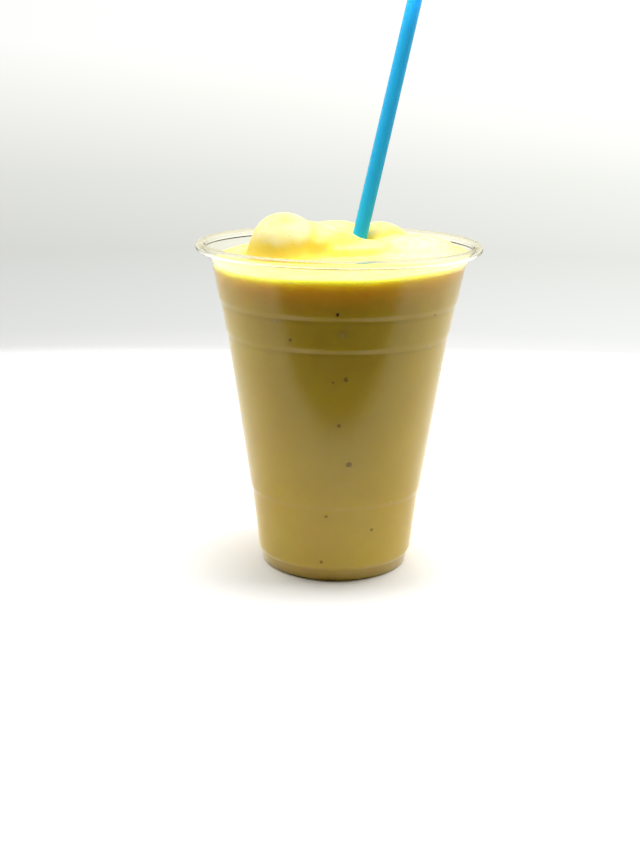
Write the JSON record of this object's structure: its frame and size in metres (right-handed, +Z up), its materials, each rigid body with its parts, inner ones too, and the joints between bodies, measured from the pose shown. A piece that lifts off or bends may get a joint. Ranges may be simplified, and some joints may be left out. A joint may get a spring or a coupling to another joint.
{
  "type": "cup of smoothie",
  "caption": "Clear disposable cold-drink cup filled over the brim with thick mango smoothie, with a leaning drinking straw.",
  "frame": {"origin": "centre of the cup's foot, on the surface that it stands on", "axes": "+Z up along the cup's axis; -Y towards the front, which the picture shows; the straw leans to +X and +Y"},
  "size_m": [0.098, 0.098, 0.2008],
  "materials": {
    "clear_plastic": "clear, smooth and glossy",
    "mango_smoothie": "thick wet drink with a soft sheen",
    "blue_plastic": "slightly milky, smooth and glossy"
  },
  "bodies": {
    "root": {"cup": "clear_plastic", "smoothie": "mango_smoothie", "straw": "blue_plastic"}
  },
  "joints": []
}
